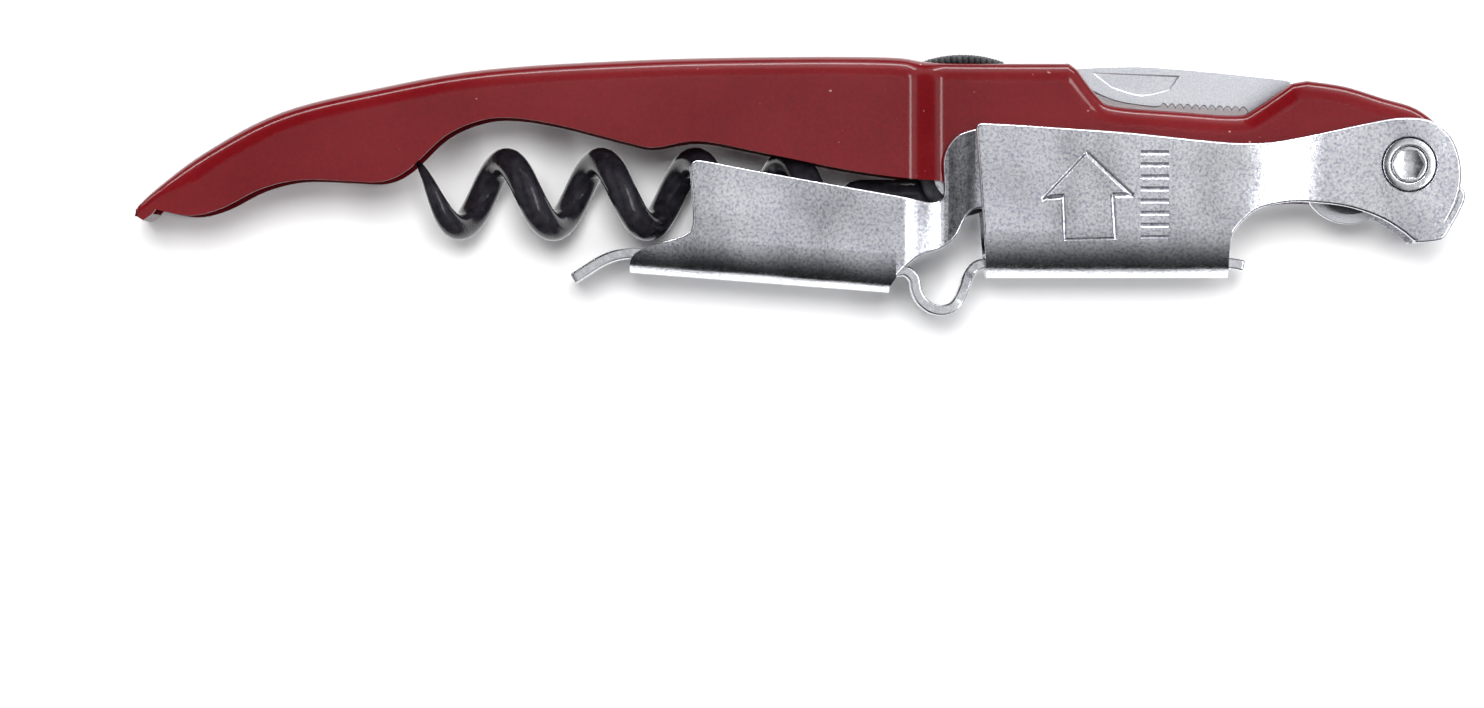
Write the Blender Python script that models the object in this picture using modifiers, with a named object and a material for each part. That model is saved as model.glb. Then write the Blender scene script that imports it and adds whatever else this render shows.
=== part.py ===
"""Waiter's corkscrew with a two-step lever, worm and foil knife, folded shut.

The mechanism lies on its side: every hinge axis runs along Z, +X points to the
lever's hinge end and +Y to the handle's back. Lengths below are millimetres,
measured from a datum inside the handle; FRAME_SHIFT moves that datum into place.
"""
import math

import bmesh
import bpy
from mathutils import Matrix, Vector

MM = 0.001

# ---- driving dimensions ------------------------------------------------------
FRAME_SHIFT = Vector((0.05, 0.15, 6.2))   # puts the box's bottom centre at the origin
HALF_WIDTH = 6.2                          # half of the thickness over the side plates
HANDLE_SHEET = 0.9
LEVER_SHEET = 0.8
NARROW_HALF = 4.3                         # handle's slim half, between the lever arms
EAR_OUTER = 5.15                          # second lever's ears, inside the first lever
EAR_INNER = 4.45
ARM_OUTER = 5.35                          # first lever's arms beside the slim handle
ARM_INNER = 4.45
SPINE_RADIUS = 2.0                        # bend between handle back and side
DRAW_IN = (9.9, 13.2)                     # X range where the handle narrows
TAIL_RADIUS = 4.9                         # handle's round end about the lever hinge
LOW_EDGE_Y = -1.4                         # handle's edge beside the levers
FIRST_BEND = 4.6                          # bend radius of the first lever's web
SECOND_BEND = 3.8
SECOND_SLOPE = math.radians(-4.4)         # lean of the second lever's web

LEVER_PIVOT = Vector((58.0, 1.9, 0))
WORM_PIVOT = Vector((15.4, 1.1, 0))
EAR_PIVOT = Vector((19.2, 1.5, 0))
KNIFE_PIVOT = Vector((52.6, 0.9, 0))

WORM_AXIS_Y = -0.86
WORM_PITCH = 9.07
WORM_WIRE = 1.4
WORM_COIL = 3.1
WORM_TIP_X = -36.97
WORM_TURNS = 4.75
SHANK_END_X = 13.3
HUB_HALF = 2.7
HUB_RADIUS = 4.1
RIM_RADIUS = 11.0                         # ridged thumb rim about the worm's hinge
RIDGE_DEPTH = 0.35

STRIP_HALF = 0.5                          # half thickness of the spring strip
STRIP_WIDE = 3.6
STRIP_SLIM = 2.3
RIVET_SHANK = 0.9
RIVET_HOLE = 1.02
SINK_RADIUS = 1.62

PIN_RADIUS = 1.25                         # pins of worm and knife
HANDLE_HOLE = 1.3                         # their holes in the handle
LEAF_HOLE = 1.32                          # and in the hub and the blade
WASHER_HOLE = 1.35
WASHER_RADIUS = 2.8
SLEEVE_RADIUS = 2.25                      # lever hinge
SLEEVE_HOLE = 2.33
LEVER_HOLE = 2.35
STUD_RADIUS = 1.5                         # between the two levers
STUD_HOLE = 1.55

BLADE_HALF = 0.8
TANG_RADIUS = 4.63
SPACER_RADIUS = 3.72
SERRATIONS = 11
SERRATION_DEPTH = 0.32
INNER_FACE = 3.34                         # washers and spacers end here, by the sheet
FIRST_WEB_Y = -8.9
SECOND_WEB = Vector((-16.4, -8.4, 0))     # left end of the second lever's web


# ---- outline helpers ---------------------------------------------------------
def spline(points, steps=4):
    """Smooth open path through the given points."""
    found = []
    last = len(points) - 1
    for index in range(last):
        before = Vector(points[max(index - 1, 0)])
        start = Vector(points[index])
        end = Vector(points[index + 1])
        after = Vector(points[min(index + 2, last)])
        for step in range(steps):
            t = step / steps
            blend = 2 * start + (end - before) * t
            blend = blend + (2 * before - 5 * start + 4 * end - after) * t ** 2
            blend = blend + (3 * start - before - 3 * end + after) * t ** 3
            found.append(tuple(blend / 2))
    found.append(tuple(points[last]))
    return found


def arc(centre, radius, start, end, steps):
    """Points on an arc, angles in degrees."""
    found = []
    for step in range(steps + 1):
        angle = math.radians(start + (end - start) * step / max(steps, 1))
        x = centre[0] + radius * math.cos(angle)
        y = centre[1] + radius * math.sin(angle)
        found.append((x, y))
    return found


def offset_path(path, distance):
    """The same path moved sideways, left of its direction when positive."""
    moved = []
    for index, point in enumerate(path):
        before = Vector(path[max(index - 1, 0)])
        after = Vector(path[min(index + 1, len(path) - 1)])
        along = (after - before).normalized()
        side = Vector((-along.y, along.x)) * distance
        moved.append((point[0] + side.x, point[1] + side.y))
    return moved


# ---- solid helpers -----------------------------------------------------------
def collection_named(name):
    found = bpy.data.collections.new(name)
    bpy.context.scene.collection.children.link(found)
    return found


for old in list(bpy.data.objects):
    bpy.data.objects.remove(old, do_unlink=True)

PARTS = collection_named("waiters_corkscrew")


def solid_from(curve_object, name):
    """Turn a curve into a welded mesh object."""
    bpy.context.view_layer.update()
    graph = bpy.context.evaluated_depsgraph_get()
    mesh = bpy.data.meshes.new_from_object(curve_object.evaluated_get(graph))
    mesh.transform(curve_object.matrix_world)
    body = bmesh.new()
    body.from_mesh(mesh)
    bmesh.ops.remove_doubles(body, verts=body.verts, dist=1e-6)
    bmesh.ops.dissolve_limit(
        body, angle_limit=0.002, verts=body.verts, edges=body.edges
    )
    bmesh.ops.recalc_face_normals(body, faces=body.faces)
    body.to_mesh(mesh)
    body.free()
    mesh.name = name
    solid = bpy.data.objects.new(name, mesh)
    PARTS.objects.link(solid)
    bpy.data.objects.remove(curve_object, do_unlink=True)
    return solid


def prism(name, outlines, low, high):
    """Closed outlines in the XY plane, extruded between two heights."""
    data = bpy.data.curves.new(name, "CURVE")
    data.dimensions = "2D"
    data.fill_mode = "BOTH"
    data.extrude = (high - low) / 2 * MM
    for outline in outlines:
        line = data.splines.new("POLY")
        line.points.add(len(outline) - 1)
        for index, point in enumerate(outline):
            line.points[index].co = (point[0] * MM, point[1] * MM, 0, 1)
        line.use_cyclic_u = True
    drawn = bpy.data.objects.new(name, data)
    drawn.location = (0, 0, (high + low) / 2 * MM)
    PARTS.objects.link(drawn)
    return solid_from(drawn, name)


def turned(name, profile, centre, sides=32):
    """Lathe (radius, height) pairs about a Z axis through the centre."""
    mesh = bpy.data.meshes.new(name)
    body = bmesh.new()
    ring = [body.verts.new((r * MM, 0, z * MM)) for r, z in profile]
    for first, second in zip(ring, ring[1:]):
        body.edges.new((first, second))
    body.to_mesh(mesh)
    body.free()
    lathe = bpy.data.objects.new(name, mesh)
    PARTS.objects.link(lathe)
    screw = lathe.modifiers.new("turn", "SCREW")
    screw.axis = "Z"
    screw.steps = sides
    screw.render_steps = sides
    screw.use_merge_vertices = True
    screw.merge_threshold = 1e-5
    screw.use_normal_calculate = True
    apply_modifiers(lathe)
    lathe.data.transform(Matrix.Translation(Vector(centre) * MM))
    return lathe


def apply_modifiers(solid):
    bpy.context.view_layer.update()
    graph = bpy.context.evaluated_depsgraph_get()
    mesh = bpy.data.meshes.new_from_object(solid.evaluated_get(graph))
    solid.modifiers.clear()
    solid.data = mesh
    body = bmesh.new()
    body.from_mesh(mesh)
    bmesh.ops.remove_doubles(body, verts=body.verts, dist=1e-6)
    bmesh.ops.recalc_face_normals(body, faces=body.faces)
    body.to_mesh(mesh)
    body.free()


def combine(solid, other, operation):
    """Apply one Boolean and discard the second solid."""
    step = solid.modifiers.new("combine", "BOOLEAN")
    step.operation = operation
    step.solver = "EXACT"
    step.object = other
    bpy.context.view_layer.update()
    apply_modifiers(solid)
    bpy.data.objects.remove(other, do_unlink=True)
    return solid


def cut(solid, other):
    return combine(solid, other, "DIFFERENCE")


def join(solid, other):
    return combine(solid, other, "UNION")


def keep_inside(solid, other):
    return combine(solid, other, "INTERSECT")


def round_edges(solid, wanted, radius, segments):
    """Round the edges whose two ends both satisfy the test."""
    body = bmesh.new()
    body.from_mesh(solid.data)
    body.edges.ensure_lookup_table()
    chosen = []
    for edge in body.edges:
        ends = [vertex.co / MM for vertex in edge.verts]
        if len(edge.link_faces) == 2 and wanted(ends[0], ends[1]):
            chosen.append(edge)
    bmesh.ops.bevel(
        body, geom=chosen, offset=radius * MM, offset_type="OFFSET",
        segments=segments, profile=0.5, affect="EDGES",
    )
    body.to_mesh(solid.data)
    body.free()
    return solid


def swept_x(name, outline, start, end):
    """Closed outline of (y, z) pairs, extruded along X."""
    bar = prism(name, [outline], start, end)
    # prism axes (x, y, z) become (y, z, x)
    turn = Matrix(((0, 0, 1, 0), (1, 0, 0, 0), (0, 1, 0, 0), (0, 0, 0, 1)))
    bar.data.transform(turn)
    return bar


def swept_y(name, outlines, start, end):
    """Closed outlines of (x, z) pairs, extruded along Y."""
    bar = prism(name, outlines, -end, -start)
    # a quarter turn about X: (x, y, z) become (x, -z, y)
    turn = Matrix(((1, 0, 0, 0), (0, 0, -1, 0), (0, 1, 0, 0), (0, 0, 0, 1)))
    bar.data.transform(turn)
    return bar


def post(name, centre, radius, low, high, sides=32):
    """Plain round bar along Z."""
    return turned(name, [(0, high), (radius, high), (radius, low), (0, low)],
                  centre, sides)


def ring(name, centre, inner, outer, low, high, sides=32):
    """Flat washer or tube along Z."""
    profile = [(outer, high), (outer, low), (inner, low), (inner, high), (outer, high)]
    return turned(name, profile, centre, sides)


def box(name, low, high):
    outline = [(low[0], low[1]), (high[0], low[1]), (high[0], high[1]), (low[0], high[1])]
    return prism(name, [outline], low[2], high[2])


# ---- materials ---------------------------------------------------------------
def paint(name, colour, roughness, metallic):
    made = bpy.data.materials.new(name)
    made.use_nodes = True
    surface = made.node_tree.nodes["Principled BSDF"]
    surface.inputs["Base Color"].default_value = (*colour, 1)
    surface.inputs["Roughness"].default_value = roughness
    surface.inputs["Metallic"].default_value = metallic
    made.diffuse_color = (*colour, 1)
    return made


RED = (0.22, 0.022, 0.026)
STEEL = (0.52, 0.53, 0.56)
BRIGHT = (0.66, 0.67, 0.69)
BLACK = (0.022, 0.022, 0.026)
DARK = (0.05, 0.05, 0.055)


def finish(solid, name, pivot, colour, roughness, metallic):
    """Name the piece, put its origin on its pivot and give it its surface."""
    solid.name = name
    solid.data.name = name
    centre = Vector(pivot) * MM
    solid.data.transform(Matrix.Translation(-centre))
    solid.location = centre + FRAME_SHIFT * MM
    solid.data.materials.clear()
    solid.data.materials.append(paint(name, colour, roughness, metallic))
    for face in solid.data.polygons:
        face.use_smooth = True
    solid.data.set_sharp_from_angle(angle=math.radians(28))
    return solid


# ---- handle ------------------------------------------------------------------
BACK_LEFT = [(-63.5, -2.5), (-62.0, -0.8), (-56.9, 3.1), (-49.7, 6.9), (-40.5, 9.2),
             (-30.1, 11.0), (-15.5, 11.9), (-2.0, 12.2), (8.5, 12.15), (13.2, 11.65),
             (25.6, 11.6)]
WINDOW = [(26.4, 11.0), (28.4, 8.4), (30.0, 7.5), (36.0, 7.0), (41.6, 6.65),
          (43.4, 7.3), (46.9, 9.7)]
BACK_RIGHT = [(48.4, 9.95), (52.0, 9.4), (55.6, 8.3), (58.8, 7.3), (61.2, 5.4),
              (62.6, 3.4), (62.9, 1.9)]
GRIP_EDGE = [(-61.6, -2.4), (-58.3, -3.0), (-55.3, -2.3), (-51.7, -0.5), (-47.9, 0.4),
             (-43.2, 0.3), (-40.0, 0.25), (-37.5, 1.4), (-34.0, 4.6), (-30.5, 6.1),
             (-27.4, 6.3), (-23.0, 5.6), (-16.4, 3.9), (-14.0, 3.5), (-9.8, 4.1),
             (-4.3, 3.1), (4.1, 1.4), (9.7, 0.6), (13.1, 0.4)]
def handle_outline():
    """Side outline of the handle."""
    back = spline(BACK_LEFT, 3) + spline(WINDOW, 3) + spline(BACK_RIGHT, 3)
    tail = arc(LEVER_PIVOT, TAIL_RADIUS, 0, -118, 8)[1:]
    low = [(tail[-1][0] - 1.5, LOW_EDGE_Y), (13.2, LOW_EDGE_Y)]
    curl = [(-62.0, -2.9), (-62.8, -3.45), (-63.35, -3.1)]
    return back + tail + low + list(reversed(spline(GRIP_EDGE, 2))) + curl


def hollow_outline(sheet):
    """The back moved in by the sheet; the open side runs well past the edge."""
    back = spline(BACK_LEFT, 3) + spline(WINDOW, 3) + spline(BACK_RIGHT, 3)
    back = [point for point in offset_path(back, -sheet) if point[0] > -62.2]
    tail = arc(LEVER_PIVOT, TAIL_RADIUS - sheet, 0, -118, 8)[1:]
    low = [(tail[-1][0] - 1, LOW_EDGE_Y - 4), (13.2, LOW_EDGE_Y - 4)]
    grip = [(x, y - 4) for x, y in reversed(spline(GRIP_EDGE, 2)) if x > -59.5]
    return back + tail + low + grip + [(-61.3, -4.5)]


def width_outline(wide, slim, wide_end, slim_start):
    """Plan outline: wide half, drawn in to the slim half."""
    near = [(-70, -wide), (wide_end, -wide), (slim_start, -slim), (70, -slim)]
    return near + [(x, -z) for x, z in reversed(near)]


def on_back(first, second):
    """Both ends on one side face and the edge on the handle's back."""
    middle = (first + second) / 2
    same_side = first.z * second.z > 0
    outer = min(abs(first.z), abs(second.z)) > 3.2
    along = abs(second.x - first.x) + abs(second.y - first.y) > 1e-4
    above = middle.y > upper_limit(middle.x)
    return same_side and outer and along and above


def upper_limit(x):
    """A line that separates the handle's back from its lower edge."""
    if x < -57:
        return -2.0 + (x + 63.5) * 0.45
    if x < 14:
        return 6.6 if x > -50 else 1.8
    return 2.6 if x > 60 else 5.6


def handle_shell(name, outline, sheet):
    """Side outline extruded, then trimmed to the handle's plan less the sheet."""
    shape = prism(name, [outline], -8, 8)
    plan = width_outline(HALF_WIDTH - sheet, NARROW_HALF - sheet,
                         *[x - sheet * 0.6 for x in DRAW_IN])
    keep_inside(shape, swept_y(name + "_plan", [plan], -20, 20))
    body = bmesh.new()
    body.from_mesh(shape.data)
    bmesh.ops.dissolve_limit(
        body, angle_limit=0.002, verts=body.verts, edges=body.edges
    )
    body.to_mesh(shape.data)
    body.free()
    return shape


handle = round_edges(handle_shell("handle", handle_outline(), 0), on_back, SPINE_RADIUS, 3)
cut(handle, handle_shell("hollow", hollow_outline(HANDLE_SHEET), HANDLE_SHEET))
cut(handle, box("window_gap", (24.7, 0, -2.6), (48.4, 20, 2.6)))
cut(handle, box("blade_slot", (47.0, 3, -1.3), (60.6, 20, 1.3)))
cut(handle, box("thumb_slot", (9.6, 6, -2.95), (21.0, 20, 2.95)))
cut(handle, post("lever_bore", LEVER_PIVOT, SLEEVE_HOLE, -9, 9))
cut(handle, post("worm_bore", WORM_PIVOT, HANDLE_HOLE, -9, 9))
cut(handle, post("knife_bore", KNIFE_PIVOT, HANDLE_HOLE, -9, 9))
finish(handle, "body_channel", (0, 0, 0), RED, 0.25, 0.0)


# ---- first lever ---------------------------------------------------------------
def bent_channel(name, web_y, half, sheet, bend, start, end):
    """Round-cornered U section, open upwards, running along X."""
    top = 20
    centre_y = web_y + bend
    inner_bend = bend - sheet
    outer = [(top, half)]
    outer += [(y, z) for z, y in arc((half - bend, centre_y), bend, 0, -90, 6)]
    outer += [(y, z) for z, y in arc((bend - half, centre_y), bend, -90, -180, 6)]
    outer += [(top, -half), (top, sheet - half)]
    outer += [(y, z) for z, y in arc((bend - half, centre_y), inner_bend, -180, -90, 6)]
    outer += [(y, z) for z, y in arc((half - bend, centre_y), inner_bend, -90, 0, 6)]
    outer += [(top, half - sheet)]
    return swept_x(name, outer, start, end)


def side_walls(name, stations, low, high):
    """Two mirrored upright walls that follow (x, inner, outer) stations."""
    near = [(x, outer) for x, inner, outer in stations]
    near += [(x, inner) for x, inner, outer in reversed(stations)]
    far = [(x, -z) for x, z in reversed(near)]
    return swept_y(name, [near, far], low, high)


FIRST_TOP = [(17.7, 5.82), (20.8, 5.66), (23.9, 5.45), (31.3, 4.9),
             (38.0, 4.2), (42.6, 3.9), (46.6, 4.3), (54.3, 5.9), (57.6, 6.35),
             (60.2, 6.0), (62.0, 4.5), (62.9, 1.9), (62.7, -1.0), (61.2, -4.3),
             (60.6, -5.1), (58.4, -5.4)]
FIRST_NOTCH = [(57.6, -4.7), (55.6, -3.4), (53.0, -2.4), (50.4, -1.9), (46.8, -1.7),
               (43.7, -2.3), (42.2, -3.4), (41.1, -4.8), (40.8, -6.4), (40.8, -8.1)]
first_side = arc((17.2, 5.25), 0.6, 180, 90, 3) + spline(FIRST_TOP, 2)
first_side += spline(FIRST_NOTCH, 2) + [(40.8, -9.5), (17.75, -9.5)]
first = bent_channel("first", FIRST_WEB_Y, HALF_WIDTH, LEVER_SHEET, FIRST_BEND, 15, 43.0)
arms = side_walls("arms", [
    (42.5, HALF_WIDTH - LEVER_SHEET + 0.004, HALF_WIDTH - 0.004),
    (43.4, HALF_WIDTH - LEVER_SHEET + 0.004, HALF_WIDTH - 0.004),
    (44.6, 5.2, 5.98), (46.6, 4.65, 5.52), (47.8, ARM_INNER, ARM_OUTER),
    (70, ARM_INNER, ARM_OUTER)], -8, 10)
join(first, arms)
keep_inside(first, prism("first_side", [first_side], -8, 8))
NOSE_OUT = [(62.75, 0.1), (63.3, -0.6), (63.25, -1.6), (62.7, -2.8), (61.9, -4.2),
            (61.0, -5.3), (58.5, -5.6)]
NOSE_IN = [(58.7, -4.8), (60.5, -4.6), (61.2, -3.6), (61.9, -2.5), (62.3, -1.5),
           (62.3, -0.8)]
for side in (1, -1):
    low, high = sorted((2.2 * side, ARM_OUTER * side))
    join(first, prism("nose", [NOSE_OUT + NOSE_IN], low, high))
cut(first, post("sleeve_bore", LEVER_PIVOT, LEVER_HOLE, -9, 9))
for side in (1, -1):
    flare = [(0, 5.6), (3.05, 5.6), (2.78, ARM_OUTER), (2.36, 4.95), (0, 4.95)]
    cut(first, turned("flare", [(r, z * side) for r, z in flare], LEVER_PIVOT))


def rivet_matrix(x, web_point, slope):
    """Frame of a rivet: +Z out of the web, origin on the web's outer face."""
    along = (x - web_point[0]) / math.cos(slope)
    place = Vector((web_point[0] + along * math.cos(slope),
                    web_point[1] + along * math.sin(slope), 0))
    out = Vector((math.sin(slope), -math.cos(slope), 0))
    turn = out.to_track_quat("Z", "Y").to_matrix().to_4x4()
    return Matrix.Translation(place * MM) @ turn


def rivet_hole(x, web_point, slope):
    hole = turned("rivet_hole", [
        (0, 2), (SINK_RADIUS, 2), (SINK_RADIUS, -0.05), (RIVET_HOLE, -0.5),
        (RIVET_HOLE, -3.5), (0, -3.5)], (0, 0, 0), 24)
    hole.data.transform(rivet_matrix(x, web_point, slope))
    return hole


def rivet(x, web_point, slope, strip_top):
    """Flush outside, domed on the strip: strip_top is its depth below the face."""
    made = turned("rivet", [
        (0, -0.03), (1.5, -0.03), (1.45, -0.1), (RIVET_SHANK, -0.55),
        (RIVET_SHANK, -strip_top), (1.7, -strip_top), (1.6, -strip_top - 0.3),
        (1.1, -strip_top - 0.6), (0, -strip_top - 0.7)], (0, 0, 0), 24)
    made.data.transform(rivet_matrix(x, web_point, slope))
    return made


FIRST_WEB = Vector((17.7, FIRST_WEB_Y, 0))
RIVETS = [
    ("rivet_first_a", 22.5, FIRST_WEB, 0.0, 1.98),
    ("rivet_first_b", 35.5, FIRST_WEB, 0.0, 1.98),
    ("rivet_second_a", -9.5, SECOND_WEB, SECOND_SLOPE, 2.30),
    ("rivet_second_b", 3.0, SECOND_WEB, SECOND_SLOPE, 2.28),
]
for label, x, web_point, slope, depth in RIVETS[:2]:
    cut(first, rivet_hole(x, web_point, slope))
finish(first, "lever_first", LEVER_PIVOT, STEEL, 0.32, 1.0)

# ---- second lever --------------------------------------------------------------
SECOND_TOP = [(-10.7, 1.7), (-10.3, 2.2), (-9.2, 2.25), (-4.3, 1.3), (4.1, -0.2),
              (9.7, -1.2), (12.2, -1.7), (13.3, -1.4), (13.6, -0.5), (13.5, 2.4),
              (14.3, 4.2), (15.8, 5.1), (19.4, 5.6), (22.4, 4.2), (23.5, 1.5)]
SECOND_LOW = [(22.4, -1.2), (19.6, -2.6), (17.0, -2.3), (15.8, -3.0), (14.8, -4.9),
              (13.6, -6.0), (11.2, -6.9), (9.6, -8.2), (8.4, -9.8)]
SNOUT = [(-16.4, -8.6), (-16.35, -7.3), (-15.6, -6.4), (-13.6, -5.6), (-11.2, -4.8),
         (-10.4, -3.8), (-10.5, -1.0)]
second_side = spline(SECOND_TOP, 3) + spline(SECOND_LOW, 2)
second_side += [(8.2, -12.0), (-16.4, -10.0)] + spline(SNOUT, 3)
second = bent_channel("second", 0, HALF_WIDTH, LEVER_SHEET, SECOND_BEND, -6, 26.2)
lean = Matrix.Translation(SECOND_WEB * MM) @ Matrix.Rotation(SECOND_SLOPE, 4, "Z")
second.data.transform(lean)
cut(second, box("channel_end", (9.7, -20, -8), (40, 30, 8)))
ears = side_walls("ears", [
    (9.0, HALF_WIDTH - LEVER_SHEET + 0.004, HALF_WIDTH - 0.004),
    (9.9, HALF_WIDTH - LEVER_SHEET + 0.004, HALF_WIDTH - 0.004),
    (10.9, 5.15, 5.93), (12.4, 4.65, 5.42), (13.4, EAR_INNER, EAR_OUTER),
    (30, EAR_INNER, EAR_OUTER)], -9.5, 12)
join(second, ears)
keep_inside(second, prism("second_side", [second_side], -8, 8))
cut(second, post("ear_bore", EAR_PIVOT, STUD_HOLE, -9, 9))
for label, x, web_point, slope, depth in RIVETS[2:]:
    cut(second, rivet_hole(x, web_point, slope))
finish(second, "lever_second", EAR_PIVOT, STEEL, 0.32, 1.0)

# ---- spring strip ----------------------------------------------------------------
STRIP = [(-21.9, -9.0), (-20.5, -8.1), (-19.2, -7.3), (-17.8, -6.75), (-16.2, -6.55),
         (-14.5, -6.75), (-11.0, -7.1), (-4.0, -7.68), (3.0, -8.2), (7.5, -8.55),
         (9.0, -8.3), (10.0, -8.25), (10.8, -9.0), (11.0, -10.1), (11.5, -11.1),
         (12.4, -11.8), (13.4, -12.0), (14.4, -11.75), (15.1, -11.0), (15.6, -9.9),
         (16.0, -8.7), (16.7, -7.8), (17.8, -7.5), (20.0, -7.5)]
path = spline(STRIP, 3) + [(30.0, -7.5), (41.0, -7.5), (41.8, -7.6), (42.4, -7.75)]
split = [index for index, point in enumerate(path) if point[0] > 15.5][0]


def strip_piece(name, points, half):
    outline = offset_path(points, STRIP_HALF)
    outline += list(reversed(offset_path(points, -STRIP_HALF)))
    return prism(name, [outline], -half, half)


strip = strip_piece("strip", path, STRIP_SLIM)
join(strip, strip_piece("strip_wide", path[:split], STRIP_WIDE))
for label, x, web_point, slope, depth in RIVETS:
    hole = turned("strip_hole", [(0, 2), (RIVET_HOLE, 2), (RIVET_HOLE, -4), (0, -4)],
                  (0, 0, 0), 24)
    hole.data.transform(rivet_matrix(x, web_point, slope))
    cut(strip, hole)
finish(strip, "leaf_spring", EAR_PIVOT, BRIGHT, 0.3, 1.0)

for label, x, web_point, slope, depth in RIVETS:
    pivot = EAR_PIVOT if "second" in label else LEVER_PIVOT
    finish(rivet(x, web_point, slope, depth), label, pivot, BRIGHT, 0.3, 1.0)

# ---- worm ------------------------------------------------------------------------
def helix_points():
    """Right-handed coil, pointed at the tip and drawn to the axis at the shank."""
    found = []
    steps = int(WORM_TURNS * 20)
    for step in range(steps + 1):
        turn = WORM_TURNS * step / steps
        angle = 2 * math.pi * turn
        x = WORM_TIP_X + WORM_PITCH * turn
        reach = WORM_COIL
        thick = 1.0
        if turn < 0.7:
            thick = max(0.1, math.sin(math.pi / 2 * turn / 0.7))
            reach = WORM_COIL + 0.25 * (1 - turn / 0.7)
        if turn > 4.2:
            ease = (turn - 4.2) / 0.55
            reach = WORM_COIL * (1 - ease) ** 0.8 if ease < 1 else 0.0
        y = WORM_AXIS_Y + reach * math.cos(angle)
        z = reach * math.sin(angle)
        found.append((x, y, z, thick))
    end = found[-1][0]
    for step in range(1, 4):
        found.append((end + (SHANK_END_X - end) * step / 3, WORM_AXIS_Y, 0, 1.0))
    return found


data = bpy.data.curves.new("worm", "CURVE")
data.dimensions = "3D"
data.bevel_depth = WORM_WIRE * MM
data.bevel_resolution = 2
data.use_fill_caps = True
line = data.splines.new("POLY")
coil = helix_points()
line.points.add(len(coil) - 1)
for index, (x, y, z, thick) in enumerate(coil):
    line.points[index].co = (x * MM, y * MM, z * MM, 1)
    line.points[index].radius = thick
worm = bpy.data.objects.new("worm", data)
PARTS.objects.link(worm)
worm = solid_from(worm, "worm")
finish(worm, "worm", WORM_PIVOT, BLACK, 0.35, 0.2)


def thumb_outline():
    """Round hub with a fan that carries a ridged rim."""
    found = []
    ridges = 13
    first_angle, last_angle = 69.0, 111.0
    for step in range(ridges * 2 + 1):
        angle = first_angle + (last_angle - first_angle) * step / (ridges * 2)
        reach = RIM_RADIUS if step % 2 else RIM_RADIUS - RIDGE_DEPTH
        found += arc(WORM_PIVOT, reach, angle, angle, 0)
    return found + arc(WORM_PIVOT, HUB_RADIUS, 135, 405, 26)


hub = prism("hub", [thumb_outline()], -HUB_HALF, HUB_HALF)
cut(hub, post("hub_bore", WORM_PIVOT, LEAF_HOLE, -9, 9))
socket = turned("socket", [(0, 4.5), (1.47, 4.5), (1.47, 0), (0, 0)], (0, 0, 0), 24)
socket.data.transform(Matrix.Translation(Vector((9.2, WORM_AXIS_Y, 0)) * MM)
                      @ Matrix.Rotation(math.pi / 2, 4, "Y"))
cut(hub, socket)
finish(hub, "worm_hub", WORM_PIVOT, BLACK, 0.55, 0.0)
finish(post("pin", WORM_PIVOT, PIN_RADIUS, -NARROW_HALF + 0.02, NARROW_HALF - 0.02),
       "worm_pin", WORM_PIVOT, BRIGHT, 0.3, 1.0)
for label, side in (("worm_washer_near", 1), ("worm_washer_far", -1)):
    low, high = sorted(((HUB_HALF + 0.06) * side, INNER_FACE * side))
    finish(ring("washer", WORM_PIVOT, WASHER_HOLE, WASHER_RADIUS, low, high), label,
           WORM_PIVOT, STEEL, 0.35, 1.0)

# ---- knife -------------------------------------------------------------------------
BLADE_BACK = [(25.0, 11.0), (27.0, 11.25), (32.3, 11.4), (37.5, 11.05), (42.6, 10.55),
              (46.6, 10.1)]
BLADE_NECK = [(48.2, 9.2), (48.8, 7.4), (48.9, 5.2), (50.4, 3.0)]
TANG_LEFT = [(46.5, 2.6), (45.0, 5.2), (43.0, 6.75)]


def serrated_edge():
    """Scalloped cutting edge from heel to tip."""
    found = []
    left, right = 34.4, 42.8
    width = (right - left) / SERRATIONS
    for index in range(SERRATIONS):
        start = right - width * index
        for step in range(3):
            t = step / 3
            dip = SERRATION_DEPTH * math.sin(math.pi * t)
            x = start - width * t
            found.append((x, 7.05 + (right - x) * 0.045 + dip))
    return found


def blade_outline():
    tang = arc(KNIFE_PIVOT, 2.85, 62, -38, 8)
    lobe = arc(KNIFE_PIVOT, TANG_RADIUS, -58, -142, 8)
    belly = spline([(34.4, 7.45), (30.5, 8.0), (27.6, 9.2), (25.2, 10.7)], 3)
    edge = serrated_edge()
    return (spline(BLADE_BACK, 3) + spline(BLADE_NECK, 3) + tang + lobe
            + spline(TANG_LEFT, 2) + edge + belly[1:])


blade = prism("blade", [blade_outline()], -BLADE_HALF, BLADE_HALF)
cut(blade, post("blade_bore", KNIFE_PIVOT, LEAF_HOLE, -9, 9))
for side in (1, -1):
    low, high = sorted(((BLADE_HALF - 0.25) * side, 1.2 * side))
    nick = prism("nick", [spline([(28.0, 10.75), (36.2, 10.45)], 1)
                          + spline([(35.4, 9.2), (32.6, 8.6), (29.8, 9.4)], 3)], low, high)
    cut(blade, nick)
finish(blade, "knife_blade", KNIFE_PIVOT, BRIGHT, 0.25, 1.0)
finish(post("pin", KNIFE_PIVOT, PIN_RADIUS, -NARROW_HALF + 0.02, NARROW_HALF - 0.02),
       "knife_pin", KNIFE_PIVOT, BRIGHT, 0.3, 1.0)
for label, side in (("knife_spacer_near", 1), ("knife_spacer_far", -1)):
    low, high = sorted(((BLADE_HALF + 0.06) * side, INNER_FACE * side))
    rim = arc(KNIFE_PIVOT, SPACER_RADIUS, 42, 318, 26)
    spacer = prism("spacer", [rim], low, high)
    cut(spacer, post("spacer_bore", KNIFE_PIVOT, WASHER_HOLE, -9, 9))
    finish(spacer, label, KNIFE_PIVOT, DARK, 0.4, 0.0)

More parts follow.
